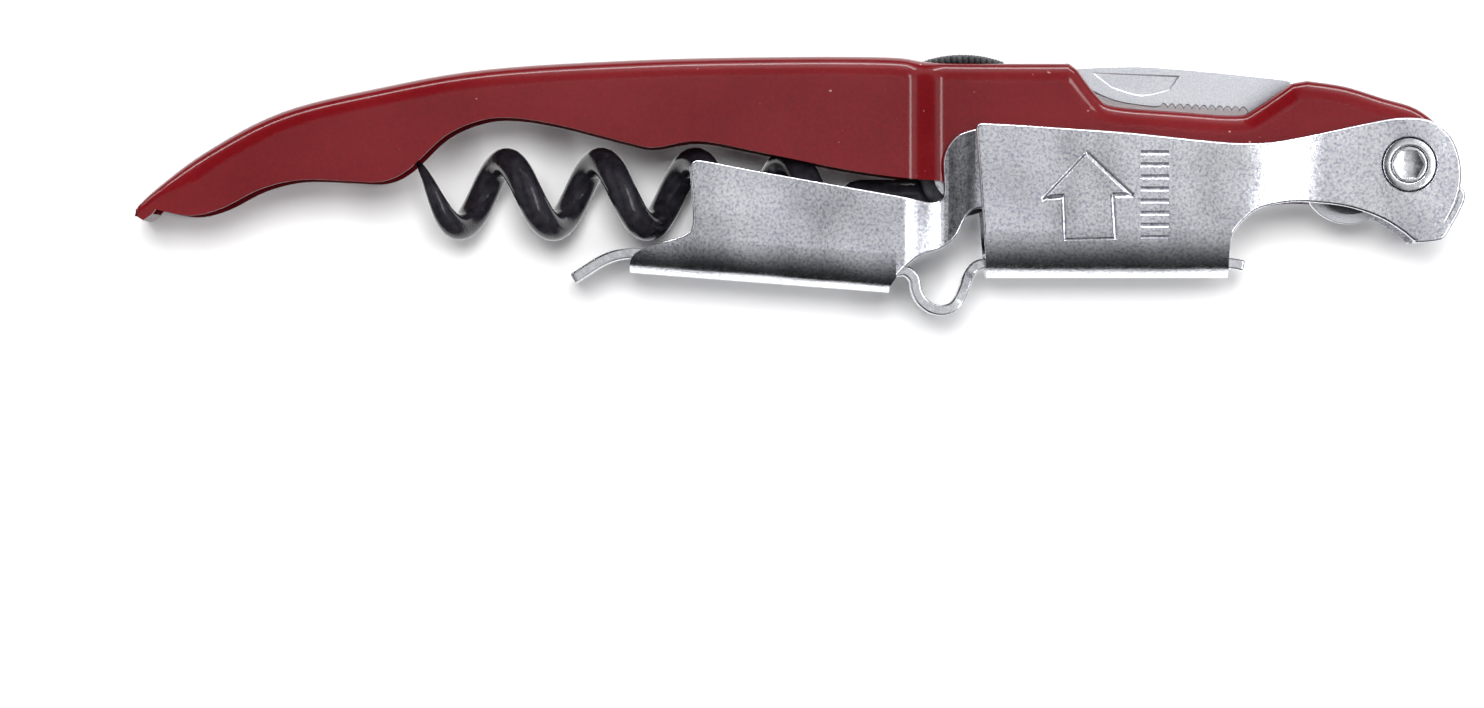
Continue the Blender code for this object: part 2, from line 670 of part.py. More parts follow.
# ---- lever hinge ---------------------------------------------------------------------
sleeve = turned("sleeve", [
    (1.8, 5.3), (2.5, 5.3), (2.48, 5.22), (SLEEVE_RADIUS, 5.0),
    (SLEEVE_RADIUS, -5.0), (2.48, -5.22),
    (2.5, -5.3), (1.8, -5.3), (1.8, -4.1), (1.15, -4.1), (1.15, 4.1), (1.8, 4.1),
    (1.8, 5.3)], LEVER_PIVOT)
finish(sleeve, "lever_sleeve", LEVER_PIVOT, BRIGHT, 0.28, 1.0)
screw = turned("screw", [
    (0, 5.25), (1.55, 5.25), (1.7, 5.1), (1.7, 4.15), (1.08, 4.15), (1.08, 0.6),
    (0.68, 0.55), (0.68, -3.6), (0, -3.6)], LEVER_PIVOT)
cut(screw, post("hex", LEVER_PIVOT, 1.18, 4.35, 6, 6))
finish(screw, "lever_screw", LEVER_PIVOT, BRIGHT, 0.28, 1.0)
nut = turned("nut", [
    (0, -5.25), (1.55, -5.25), (1.7, -5.1), (1.7, -4.15), (1.08, -4.15), (1.08, 0.4),
    (0.74, 0.4), (0.74, -3.75), (0, -3.75)][::-1], LEVER_PIVOT)
cut(nut, post("hex", LEVER_PIVOT, 1.18, -6, -4.35, 6))
finish(nut, "lever_nut", LEVER_PIVOT, BRIGHT, 0.28, 1.0)

# ---- second lever's studs ----------------------------------------------------------------
for label, side in (("ear_stud_near", 1), ("ear_stud_far", -1)):
    low, high = sorted((4.5 * side, 5.37 * side))
    finish(post("stud", EAR_PIVOT, STUD_RADIUS, low, high), label, LEVER_PIVOT, BRIGHT, 0.3, 1.0)
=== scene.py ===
"""Looks of the waiter's corkscrew: fine meshes, materials, floor, light and camera."""
import math

import bmesh
import bpy
from mathutils import Matrix, Vector


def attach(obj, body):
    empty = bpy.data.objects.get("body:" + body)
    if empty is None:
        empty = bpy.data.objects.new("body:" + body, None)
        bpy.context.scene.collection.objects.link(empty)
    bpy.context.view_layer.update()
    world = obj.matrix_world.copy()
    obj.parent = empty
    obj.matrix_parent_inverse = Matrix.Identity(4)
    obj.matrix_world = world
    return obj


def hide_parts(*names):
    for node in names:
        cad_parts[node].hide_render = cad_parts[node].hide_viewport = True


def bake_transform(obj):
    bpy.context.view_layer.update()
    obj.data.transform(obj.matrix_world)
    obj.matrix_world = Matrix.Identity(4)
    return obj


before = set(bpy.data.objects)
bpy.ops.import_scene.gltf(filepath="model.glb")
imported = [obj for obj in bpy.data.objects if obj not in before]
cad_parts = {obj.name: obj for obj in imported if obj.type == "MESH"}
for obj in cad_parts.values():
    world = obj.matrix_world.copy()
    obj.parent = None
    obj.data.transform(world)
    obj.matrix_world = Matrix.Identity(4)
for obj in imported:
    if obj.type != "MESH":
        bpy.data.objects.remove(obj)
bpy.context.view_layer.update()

# Millimetres, about the drawing's own origin; SHIFT moves a piece into the frame.
MM = 0.001
SHIFT = Vector((0.05, 0.15, 6.2))
HALF = 6.2                                # half width over the side plates
HANDLE_SHEET = 0.9
LEVER_SHEET = 0.8
LEVER_PIVOT = Vector((58.0, 1.9, 0))
WORM_PIVOT = Vector((15.4, 1.1, 0))
EAR_PIVOT = Vector((19.2, 1.5, 0))
KNIFE_PIVOT = Vector((52.6, 0.9, 0))
THROUGH = 9                               # reaches past both sides of the tool
SMOOTH_BELOW = math.radians(30)           # edges flatter than this are shaded smooth
ROUND_ABOVE = math.radians(32)            # edges sharper than this get a small round

NARROW = 4.3                              # handle's half width in its slim part
DRAW_IN = (9.9, 13.8)                     # X range where the handle narrows
TAIL_RADIUS = 4.9
BACK_ROUND = 2.0
HANDLE_EDGE = 0.22
HANDLE_BORE = 2.33

FIRST_WEB_Y = -8.9
FIRST_BEND = 4.6
FIRST_STEP = (42.0, 50.0)                 # X range where the first lever's arms step in
FIRST_SLIM = 5.35                         # and their half width after it
SECOND_BEND = 3.8
SECOND_WEB = Vector((-16.4, -8.4, 0))
SECOND_SLOPE = math.radians(-4.4)
SECOND_STEP = (9.6, 13.6)
SECOND_SLIM = 5.3
EAR_HOLLOW = 0.5                          # dip of the ears just after their step
SWELL = 3.4                               # length over which the dip comes out again
ARM_GAP = 4.45                            # from the middle plane to the inside of an arm
RIM = 0.28                                # round on the levers' edges
NOSE_RIM = 0.2
NOSE_LOW = 2.2
SLEEVE_BORE = 2.4
EAR_BORE = 1.56
STROKE = (0.26, 0.2)                      # half width and depth of the arrow's strokes
BAR_STROKE = (0.22, 0.17)

STRIP_HALF = 0.5                          # half thickness of the spring strip
STRIP_WIDE = 3.6
STRIP_SLIM = 2.3

WORM_AXIS_Y = -0.86
WORM_TIP_X = -37.45
WORM_TURNS = 4.75
WORM_PITCH = 9.07
WORM_COIL = 3.1                           # radius of the coil's centre line
WORM_WIRE = 1.4
SHANK_END_X = 13.3
POINT_TURNS = 0.7                         # the wire thins to a point over these
POINT_FLARE = 0.25                        # and stands out by this at its tip
SHANK_TURN = 4.2                          # the coil runs in to its axis from here

HUB_HALF = 2.7
HUB_RADIUS = 4.1
FAN_RADIUS = 10.3
FAN_ANGLES = (69, 111)
KNURL_HALF = 2.5
KNURL_RADIUS = 10.62
KNURL_HEIGHT = 0.4
KNURL_CELL = 6                            # grid steps across one diamond
KNURL_SHEET = 0.8
PIN_BORE = 1.32

BLADE_HALF = 0.8
TANG_RADIUS = 4.63
TANG_NECK_RADIUS = 2.85
SERRATIONS = 11
SERRATED = (34.4, 42.8)                   # X range of the serrations
SERRATION_DEPTH = 0.42
EDGE_Y = 7.05                             # cutting edge at the right end of the serrations
EDGE_SLOPE = 0.045


# ---- outlines ------------------------------------------------------------------
def spline(points, steps=8):
    """Smooth open path through the given points."""
    found = []
    last = len(points) - 1
    for index in range(last):
        before = Vector(points[max(index - 1, 0)])
        start = Vector(points[index])
        end = Vector(points[index + 1])
        after = Vector(points[min(index + 2, last)])
        for step in range(steps):
            t = step / steps
            blend = 2 * start + (end - before) * t
            blend = blend + (2 * before - 5 * start + 4 * end - after) * t ** 2
            blend = blend + (3 * start - before - 3 * end + after) * t ** 3
            found.append(tuple(blend / 2))
    found.append(tuple(points[last]))
    return found


def arc(centre, radius, start, end, steps):
    """Points on an arc, angles in degrees."""
    found = []
    for step in range(steps + 1):
        angle = math.radians(start + (end - start) * step / steps)
        found.append((centre[0] + radius * math.cos(angle),
                      centre[1] + radius * math.sin(angle)))
    return found


def offset_path(path, distance):
    """The path moved sideways, left of its direction when positive."""
    moved = []
    for index, point in enumerate(path):
        before = Vector(path[max(index - 1, 0)])
        after = Vector(path[min(index + 1, len(path) - 1)])
        along = (after - before).normalized()
        moved.append((point[0] - along.y * distance, point[1] + along.x * distance))
    return moved


def inset(outline, distance):
    """A closed outline moved inwards, one point for each of its own."""
    count = len(outline)
    area = sum(outline[i - 1][0] * outline[i][1] - outline[i][0] * outline[i - 1][1]
               for i in range(count))
    turn = distance if area > 0 else -distance
    moved = []
    for index in range(count):
        point = Vector(outline[index])
        into = (point - Vector(outline[index - 1])).normalized()
        away = (Vector(outline[(index + 1) % count]) - point).normalized()
        side = Vector((-into.y - away.y, into.x + away.x)).normalized()
        share = max(0.6, abs(side.dot(Vector((-into.y, into.x)))))
        moved.append(tuple(point + side * turn / share))
    return moved


def ease(t):
    """Smooth step from 0 to 1."""
    t = min(max(t, 0.0), 1.0)
    return t * t * (3 - 2 * t)


# ---- solids --------------------------------------------------------------------
def new_object(name, mesh):
    made = bpy.data.objects.new(name, mesh)
    bpy.context.scene.collection.objects.link(made)
    return made


def evaluated_mesh(source):
    bpy.context.view_layer.update()
    graph = bpy.context.evaluated_depsgraph_get()
    return bpy.data.meshes.new_from_object(source.evaluated_get(graph))


def clean(mesh, flatten=False):
    """Merge doubled corners, turn the faces outwards, drop needless edges if asked."""
    body = bmesh.new()
    body.from_mesh(mesh)
    bmesh.ops.remove_doubles(body, verts=body.verts, dist=1e-6)
    if flatten:
        bmesh.ops.dissolve_limit(
            body, angle_limit=0.002, verts=body.verts, edges=body.edges
        )
    bmesh.ops.recalc_face_normals(body, faces=body.faces)
    body.to_mesh(mesh)
    body.free()


def prism(name, outlines, low, high):
    """Closed outlines in the XY plane, extruded between two heights."""
    data = bpy.data.curves.new(name, "CURVE")
    data.dimensions = "2D"
    data.fill_mode = "BOTH"
    data.extrude = (high - low) / 2 * MM
    for outline in outlines:
        line = data.splines.new("POLY")
        line.points.add(len(outline) - 1)
        for index, point in enumerate(outline):
            line.points[index].co = (point[0] * MM, point[1] * MM, 0, 1)
        line.use_cyclic_u = True
    drawn = new_object(name, data)
    mesh = evaluated_mesh(drawn)
    bpy.data.objects.remove(drawn, do_unlink=True)
    mesh.transform(Matrix.Translation((0, 0, (high + low) / 2 * MM)))
    clean(mesh, flatten=True)
    return new_object(name, mesh)


def rim_solid(name, outline, outer, radius):
    """Closed outline whose upright sides lean in to a round rim at height outer(x)."""
    steps = 4
    levels = [(radius, None)]
    for step in range(steps + 1):
        angle = math.pi / 2 * (1 - step / steps)
        levels.append((radius * (1 - math.cos(angle)), radius * (1 - math.sin(angle))))
    body = bmesh.new()
    rings = []
    for way in (1, -1):
        half = []
        for depth, drop in levels:
            half.append([body.verts.new((x * MM, y * MM, way * MM * (
                HALF + 3 if drop is None else outer(x) + 0.004 - drop)))
                for x, y in inset(outline, depth)])
        rings += half if way > 0 else half[::-1]
    for upper, lower in zip(rings, rings[1:]):
        for index in range(len(outline)):
            body.faces.new((upper[index - 1], upper[index], lower[index], lower[index - 1]))
    body.faces.new(rings[0])
    body.faces.new(rings[-1])
    mesh = bpy.data.meshes.new(name)
    body.to_mesh(mesh)
    body.free()
    clean(mesh)
    return new_object(name, mesh)


def turned(name, profile, centre, sides=64):
    """Lathe (radius, height) pairs about a Z axis through the centre."""
    mesh = bpy.data.meshes.new(name)
    body = bmesh.new()
    ring = [body.verts.new((r * MM, 0, z * MM)) for r, z in profile]
    for first, second in zip(ring, ring[1:]):
        body.edges.new((first, second))
    body.to_mesh(mesh)
    body.free()
    lathe = new_object(name, mesh)
    screw = lathe.modifiers.new("turn", "SCREW")
    screw.steps = sides
    screw.render_steps = sides
    screw.use_merge_vertices = True
    screw.merge_threshold = 1e-5
    apply_modifiers(lathe)
    lathe.data.transform(Matrix.Translation(Vector(centre) * MM))
    return lathe


def apply_modifiers(solid):
    mesh = evaluated_mesh(solid)
    solid.modifiers.clear()
    solid.data = mesh
    clean(mesh)


def combine(solid, other, operation):
    step = solid.modifiers.new("combine", "BOOLEAN")
    step.operation = operation
    step.solver = "EXACT"
    step.object = other
    apply_modifiers(solid)
    bpy.data.objects.remove(other, do_unlink=True)
    return solid


def cut(solid, other):
    return combine(solid, other, "DIFFERENCE")


def join(solid, other):
    return combine(solid, other, "UNION")


def keep_inside(solid, other):
    return combine(solid, other, "INTERSECT")


def swept_x(name, outline, start, end):
    """Closed outline of (y, z) pairs, extruded along X."""
    bar = prism(name, [outline], start, end)
    bar.data.transform(Matrix(((0, 0, 1, 0), (1, 0, 0, 0), (0, 1, 0, 0), (0, 0, 0, 1))))
    return bar


def swept_y(name, outlines, start, end):
    """Closed outlines of (x, z) pairs, extruded along Y."""
    bar = prism(name, outlines, -end, -start)
    bar.data.transform(Matrix(((1, 0, 0, 0), (0, 0, -1, 0), (0, 1, 0, 0), (0, 0, 0, 1))))
    return bar


def post(name, centre, radius, low, high, sides=64):
    return turned(name, [(0, high), (radius, high), (radius, low), (0, low)],
                  centre, sides)


def box(name, low, high):
    outline = [(low[0], low[1]), (high[0], low[1]), (high[0], high[1]), (low[0], high[1])]
    return prism(name, [outline], low[2], high[2])


def round_chosen(solid, wanted, radius, segments, share):
    """Round the edges whose ends satisfy the test, each by its share of the radius."""
    body = bmesh.new()
    body.from_mesh(solid.data)
    weight = body.edges.layers.float.new("bevel_weight_edge")
    for edge in body.edges:
        first, second = (vert.co / MM for vert in edge.verts)
        if len(edge.link_faces) == 2 and wanted(first, second):
            edge[weight] = share((first + second) / 2)
    body.to_mesh(solid.data)
    body.free()
    step = solid.modifiers.new("round", "BEVEL")
    step.limit_method = "WEIGHT"
    step.width = radius * MM
    step.segments = segments
    step.use_clamp_overlap = False
    apply_modifiers(solid)


def shade(solid):
    """Smooth shading that keeps flat faces flat and sharp edges sharp."""
    body = bmesh.new()
    body.from_mesh(solid.data)
    for face in body.faces:
        face.smooth = True
    for edge in body.edges:
        edge.smooth = edge.calc_face_angle(0) < SMOOTH_BELOW
    body.to_mesh(solid.data)
    body.free()
    weighted = solid.modifiers.new("normals", "WEIGHTED_NORMAL")
    weighted.keep_sharp = True
    weighted.weight = 80


def soften(solid, width, segments=3):
    """Small round on every sharp edge, with flat faces kept flat."""
    step = solid.modifiers.new("edge", "BEVEL")
    step.width = width * MM
    step.segments = segments
    step.limit_method = "ANGLE"
    step.angle_limit = ROUND_ABOVE
    step.use_clamp_overlap = True
    shade(solid)


# ---- materials -------------------------------------------------------------------
class Surface:
    """A Principled material with small helpers for its procedural detail."""

    def __init__(self, name, roughness, metallic, **sockets):
        self.material = bpy.data.materials.new(name)
        self.material.use_nodes = True
        self.nodes = self.material.node_tree.nodes
        self.links = self.material.node_tree.links
        self.shader = self.nodes["Principled BSDF"]
        self.shader.inputs["Roughness"].default_value = roughness
        self.shader.inputs["Metallic"].default_value = metallic
        for label, value in sockets.items():
            self.shader.inputs[label.replace("_", " ")].default_value = value
        self.place = self.nodes.new("ShaderNodeTexCoord")
        self.height = None

    def noise(self, scale, detail=3.0, stretch=(1, 1, 1), rough=0.5):
        """Noise over the object's own coordinates, scale in cells per millimetre."""
        mapping = self.nodes.new("ShaderNodeMapping")
        mapping.inputs["Scale"].default_value = [1000 * s for s in stretch]
        self.links.new(self.place.outputs["Object"], mapping.inputs["Vector"])
        texture = self.nodes.new("ShaderNodeTexNoise")
        texture.inputs["Scale"].default_value = scale
        texture.inputs["Detail"].default_value = detail
        texture.inputs["Roughness"].default_value = rough
        self.links.new(mapping.outputs["Vector"], texture.inputs["Vector"])
        return texture.outputs["Fac"]

    def ramp(self, source, stops):
        """Colour ramp with (position, colour) stops."""
        ramp = self.nodes.new("ShaderNodeValToRGB")
        points = ramp.color_ramp.elements
        while len(points) < len(stops):
            points.new(0.5)
        for point, (position, colour) in zip(points, stops):
            point.position = position
            point.color = (*colour, 1)
        self.links.new(source, ramp.inputs["Fac"])
        return ramp.outputs["Color"]

    def grey(self, source, stops):
        return self.ramp(source, [(at, (level,) * 3) for at, level in stops])

    def mix(self, kind, amount, first, second):
        """Mix two colours; amount is a number or another node's output."""
        node = self.nodes.new("ShaderNodeMix")
        node.data_type = "RGBA"
        node.blend_type = kind
        if isinstance(amount, (int, float)):
            node.inputs[0].default_value = amount
        else:
            self.links.new(amount, node.inputs[0])
        for slot, value in ((6, first), (7, second)):
            if isinstance(value, tuple):
                node.inputs[slot].default_value = (*value, 1)
            else:
                self.links.new(value, node.inputs[slot])
        return node.outputs[2]

    def colour(self, source):
        self.links.new(source, self.shader.inputs["Base Color"])

    def roughness(self, source):
        self.links.new(source, self.shader.inputs["Roughness"])

    def bump(self, source, depth):
        """Depth in millimetres; several bumps are chained."""
        node = self.nodes.new("ShaderNodeBump")
        node.inputs["Strength"].default_value = 1.0
        node.inputs["Distance"].default_value = depth * MM
        self.links.new(source, node.inputs["Height"])
        if self.height is not None:
            self.links.new(self.height, node.inputs["Normal"])
        self.height = node.outputs["Normal"]
        self.links.new(self.height, self.shader.inputs["Normal"])


def red_enamel():
    made = Surface("red_enamel", 0.2, 0.0, Coat_Weight=0.12, Coat_Roughness=0.04,
                   Specular_IOR_Level=0.32)
    cloud = made.ramp(made.noise(0.09, 4), [(0.3, (0.118, 0.002, 0.004)),
                                            (0.7, (0.150, 0.006, 0.009))])
    grain = made.ramp(made.noise(3.5, 2), [(0.35, (0.80, 0.80, 0.80)), (0.7, (1, 1, 1))])
    base = made.mix("MULTIPLY", 1.0, cloud, grain)
    specks = made.grey(made.noise(1.6, 1.0), [(0.785, 0.0), (0.82, 1.0)])
    made.colour(made.mix("MIX", specks, base, (0.42, 0.22, 0.22)))
    made.roughness(made.grey(made.noise(0.5, 5), [(0.3, 0.11), (0.75, 0.20)]))
    made.bump(made.noise(1.3, 2), 0.006)
    made.bump(made.noise(9.0, 2), 0.002)
    return made.material


def lever_steel():
    made = Surface("lever_steel", 0.25, 1.0)
    cloud = made.ramp(made.noise(0.12, 4), [(0.3, (0.88, 0.88, 0.91)),
                                            (0.7, (1.0, 1.0, 1.0))])
    grain = made.ramp(made.noise(3.4, 3, rough=0.7), [(0.36, (0.50, 0.53, 0.62)),
                                                      (0.50, (0.88, 0.89, 0.92)),
                                                      (0.62, (1, 1, 1))])
    made.colour(made.mix("MULTIPLY", 0.9, cloud, grain))
    made.roughness(made.grey(made.noise(1.4, 6, rough=0.7), [(0.3, 0.14), (0.7, 0.28)]))
    made.bump(made.noise(3.6, 4, rough=0.7), 0.016)
    made.bump(made.noise(2.2, 3, stretch=(0.06, 1.6, 1.0)), 0.003)
    made.bump(made.noise(0.11, 1), 0.55)
    return made.material


def bright_steel():
    made = Surface("bright_steel", 0.2, 1.0)
    cloud = made.ramp(made.noise(0.5, 4), [(0.3, (0.82, 0.83, 0.85)),
                                           (0.7, (0.95, 0.95, 0.96))])
    grain = made.ramp(made.noise(7.0, 2), [(0.35, (0.75, 0.77, 0.82)), (0.65, (1, 1, 1))])
    made.colour(made.mix("MULTIPLY", 0.6, cloud, grain))
    made.roughness(made.grey(made.noise(2.0, 5), [(0.3, 0.14), (0.7, 0.34)]))
    made.bump(made.noise(5.0, 3), 0.005)
    return made.material


def blade_steel():
    made = Surface("blade_steel", 0.3, 1.0)
    cloud = made.ramp(made.noise(0.3, 4), [(0.3, (0.93, 0.95, 0.98)),
                                           (0.7, (1.0, 1.0, 1.0))])
    grain = made.ramp(made.noise(6.0, 3, rough=0.7), [(0.35, (0.66, 0.70, 0.80)),
                                                      (0.62, (1, 1, 1))])
    made.colour(made.mix("MULTIPLY", 0.7, cloud, grain))
    made.roughness(made.grey(made.noise(3.0, 5), [(0.3, 0.28), (0.7, 0.46)]))
    made.bump(made.noise(6.0, 3, stretch=(0.1, 1, 1)), 0.004)
    return made.material


def worm_coating():
    made = Surface("worm_coating", 0.3, 0.0, Specular_IOR_Level=0.28)
    cloud = made.ramp(made.noise(1.2, 5), [(0.3, (0.010, 0.009, 0.012)),
                                           (0.75, (0.026, 0.024, 0.031))])
    wear = made.grey(made.noise(2.6, 3), [(0.70, 0.0), (0.78, 1.0)])
    made.colour(made.mix("MIX", wear, cloud, (0.06, 0.055, 0.065)))
    made.roughness(made.grey(made.noise(2.5, 5), [(0.3, 0.10), (0.75, 0.24)]))
    made.bump(made.noise(3.2, 4), 0.02)
    return made.material


def hub_plastic():
    made = Surface("hub_plastic", 0.5, 0.0)
    made.colour(made.ramp(made.noise(2.0, 4), [(0.3, (0.012, 0.012, 0.014)),
                                               (0.75, (0.05, 0.05, 0.055))]))
    made.roughness(made.grey(made.noise(4.0, 4), [(0.3, 0.38), (0.75, 0.62)]))
    made.bump(made.noise(6.0, 3), 0.015)
    return made.material


ENAMEL = red_enamel()
STEEL = lever_steel()
BRIGHT = bright_steel()
BLADE = blade_steel()
COATING = worm_coating()
PLASTIC = hub_plastic()


def place(solid, name, body, nodes, material, slot):
    """Name a finished piece, move it into the frame and let it stand for its nodes."""
    solid.name = name
    solid.data.transform(Matrix.Translation(SHIFT * MM))
    solid.data.materials.clear()
    solid.data.materials.append(material)
    if body:
        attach(solid, body)
    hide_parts(*nodes)


# ---- handle ------------------------------------------------------------------------
BACK_LEFT = [(-63.5, -2.5), (-62.0, -0.8), (-56.9, 3.1), (-49.7, 6.9), (-40.5, 9.2),
             (-30.1, 11.0), (-15.5, 11.9), (-2.0, 12.2), (8.5, 12.15), (13.2, 11.65),
             (25.6, 11.6)]
WINDOW = [(26.4, 11.0), (28.4, 8.4), (30.0, 7.5), (36.0, 7.0), (41.6, 6.65),
          (43.4, 7.3), (46.9, 9.7)]
BACK_RIGHT = [(48.4, 9.95), (52.0, 9.4), (55.6, 8.3), (58.8, 7.3), (61.2, 5.4),
              (62.6, 3.4), (62.9, 1.9)]
GRIP_EDGE = [(-61.6, -2.4), (-58.3, -3.0), (-55.3, -2.3), (-51.7, -0.5), (-47.9, 0.4),
             (-43.2, 0.3), (-40.0, 0.25), (-37.5, 1.4), (-34.0, 4.6), (-30.5, 6.1),
             (-27.4, 6.3), (-23.0, 5.6), (-16.4, 3.9), (-14.0, 3.5), (-9.8, 4.1),
             (-4.3, 3.1), (4.1, 1.4), (9.7, 0.6), (13.4, 0.35)]


def handle_outline(sheet):
    """Side view of the handle, or of its hollow when given the sheet's thickness."""
    back = spline(BACK_LEFT, 6) + spline(WINDOW, 5) + spline(BACK_RIGHT, 5)
    if sheet:
        back = offset_path(back, -sheet)
    tail = arc(LEVER_PIVOT, TAIL_RADIUS - sheet, 0, -118, 16)[1:]
    grip = list(reversed(spline(GRIP_EDGE, 5)))
    if sheet:
        grip = [(x, y - 4) for x, y in grip if x > -59.5]
        back = [point for point in back if point[0] > -62.2]
        low = [(tail[-1][0] - 1, -5.4), (13.2, -5.4)]
        return back + tail + low + grip + [(-61.3, -4.5)]
    low = [(tail[-1][0] - 1.5, -1.4), (14.9, -1.4), (14.2, -0.9)]
    curl = [(-62.0, -2.9), (-62.8, -3.45), (-63.35, -3.1)]
    return back + tail + low + grip + curl


def slice_across(body, start, end, steps):
    """Cut a mesh into slices along X without taking anything away."""
    for step in range(steps + 1):
        station = (start + (end - start) * step / steps) * MM
        bmesh.ops.bisect_plane(
            body, geom=body.verts[:] + body.edges[:] + body.faces[:],
            plane_co=(station, 0, 0), plane_no=(1, 0, 0), dist=1e-7,
        )


def draw_in(solid, start, end, share):
    """Narrow everything right of start to a share of its width, smoothly.

    The slices give the long flat faces corners to bend at.
    """
    body = bmesh.new()
    body.from_mesh(solid.data)
    slice_across(body, -61.13, start - 1.53, 34)
    slice_across(body, start, end, 14)
    slice_across(body, end + 1.21, 61.17, 22)
    for vert in body.verts:
        t = min(1, max(0, (vert.co.x / MM - start) / (end - start)))
        vert.co.z *= 1 + (share - 1) * ease(t)
    body.to_mesh(solid.data)
    body.free()


def upper_limit(x):
    """Lowest Y of the edges that are rounded at X."""
    if x < -57:
        return -2.0 + (x + 63.5) * 0.45
    if x < 14:
        return 6.6 if x > -50 else 1.8
    return 2.6 if x > 60 else 5.6


def on_back(first, second):
    """True for an edge that runs along the back's outer corner."""
    middle = (first + second) / 2
    outer = first.z * second.z > 0 and min(abs(first.z), abs(second.z)) > 3.2
    along = abs(second.x - first.x) + abs(second.y - first.y) > 1e-4
    return outer and along and middle.y > upper_limit(middle.x)


def thin_at_tip(middle):
    """Share of the back's round that is left at the handle's pointed end."""
    return min(1.0, max(0.12, (middle.x + 63.9) / 5.5))


handle = prism("handle", [handle_outline(0)], -HALF, HALF)
round_chosen(handle, on_back, BACK_ROUND, 7, thin_at_tip)
cut(handle, prism("hollow", [handle_outline(HANDLE_SHEET)], HANDLE_SHEET - HALF,
                  HALF - HANDLE_SHEET))
draw_in(handle, *DRAW_IN, NARROW / HALF)
cut(handle, box("window_gap", (24.7, 0, -2.6), (48.4, 20, 2.6)))
cut(handle, box("blade_slot", (47.0, 3, -1.3), (60.6, 20, 1.3)))
cut(handle, box("thumb_slot", (9.77, 6.1, -2.93), (21.07, 20, 2.93)))
cut(handle, post("lever_bore", LEVER_PIVOT, HANDLE_BORE, -THROUGH, THROUGH))
soften(handle, HANDLE_EDGE)
place(handle, "handle_shell", "handle", ["body_channel"], ENAMEL, "red_enamel")


# ---- levers ------------------------------------------------------------------------
def bent_channel(name, web_y, bend, start, end):
    """Round-cornered U section, open upwards, running along X."""
    centre = HALF - bend
    middle_y = web_y + bend
    inner = bend - LEVER_SHEET
    outline = [(20, HALF)]
    outline += [(y, z) for z, y in arc((centre, middle_y), bend, 0, -90, 18)]
    outline += [(y, z) for z, y in arc((-centre, middle_y), bend, -90, -180, 18)]
    outline += [(20, -HALF), (20, LEVER_SHEET - HALF)]
    outline += [(y, z) for z, y in arc((-centre, middle_y), inner, -180, -90, 18)]
    outline += [(y, z) for z, y in arc((centre, middle_y), inner, -90, 0, 18)]
    outline += [(20, HALF - LEVER_SHEET)]
    return swept_x(name, outline, start, end)


def drawn_in(step, slim, dip=0.0):
    """Outer half width at X of walls that step in and may come out again a little."""
    step_from, step_to = step

    def outer(x):
        back = dip * (1 - ease((x - step_to) / SWELL)) if x > step_from else 0
        return HALF + (slim - back - HALF) * ease((x - step_from) / (step_to - step_from))
    return outer


def side_walls(name, start, step, end, outer, low, high):
    """Two mirrored walls under the outer half width, never nearer than ARM_GAP."""
    step_from, step_to = step
    stations = [start]
    stations += [step_from + (step_to - step_from) * index / 14 for index in range(15)]
    stations += [step_to + SWELL * index / 8 for index in range(1, 9)] + [end]
    near = [(x, outer(x) - 0.003) for x in stations]
    near += [(x, max(outer(x) - LEVER_SHEET + 0.003, ARM_GAP)) for x in reversed(stations)]
    far = [(x, -z) for x, z in reversed(near)]
    return swept_y(name, [near, far], low, high)


FIRST_TOP = [(17.7, 5.82), (20.8, 5.66), (23.9, 5.45), (31.3, 4.9),
             (38.0, 4.2), (42.6, 3.9), (46.6, 4.3), (54.3, 5.9), (57.6, 6.35),
             (60.2, 6.0), (62.0, 4.5), (62.9, 1.9), (62.7, -1.0), (61.2, -4.3),
             (60.6, -5.1), (58.4, -5.4)]
FIRST_NOTCH = [(57.6, -4.7), (55.6, -3.4), (53.0, -2.4), (50.4, -1.9), (46.8, -1.7),
               (43.7, -2.3), (42.2, -3.4), (41.1, -4.8), (40.8, -6.4), (40.8, -8.1)]
NOSE_OUT = [(62.9, -0.25), (63.3, -0.8), (63.25, -1.6), (62.7, -2.8), (61.9, -4.2),
            (61.0, -5.3), (58.5, -5.6)]
NOSE_IN = [(58.7, -4.8), (60.5, -4.6), (61.2, -3.6), (61.9, -2.5), (62.4, -1.5),
           (62.45, -0.8)]

first = bent_channel("first", FIRST_WEB_Y, FIRST_BEND, 15, FIRST_STEP[0])
arm_width = drawn_in(FIRST_STEP, FIRST_SLIM)
join(first, side_walls("arms", 41.0, FIRST_STEP, 70, arm_width, -8, 10))
first_side = arc((17.2, 5.25), 0.6, 180, 90, 6) + spline(FIRST_TOP, 5)
first_side += spline(FIRST_NOTCH, 5) + [(40.8, -9.5), (17.75, -9.5)]
keep_inside(first, rim_solid("first_side", first_side, arm_width, RIM))
nose_outline = spline(NOSE_OUT, 4) + spline(NOSE_IN, 4)
for side in (1, -1):
    low, high = sorted((NOSE_LOW * side, FIRST_SLIM * side))
    nose = prism("nose", [nose_outline], low, high)
    rim = rim_solid("nose_rim", nose_outline, lambda x: FIRST_SLIM - 0.01, NOSE_RIM)
    join(first, keep_inside(nose, rim))
cut(first, post("sleeve_bore", LEVER_PIVOT, SLEEVE_BORE, -THROUGH, THROUGH))
FLARE = [(0, 5.6), (3.0, 5.6), (2.75, 5.35), (2.42, 4.95), (0, 4.95)]
for side in (1, -1):
    cut(first, turned("flare", [(r, z * side) for r, z in FLARE], LEVER_PIVOT))

ARROW = [(27.1, 3.05), (22.95, -1.35), (24.95, -1.15), (25.1, -5.3), (29.9, -5.2),
         (29.65, -1.05), (31.5, -1.05)]
BARS = 8
BAR_LEFT, BAR_RIGHT, BAR_TOP, BAR_STEP = 32.3, 35.0, 3.0, 1.15


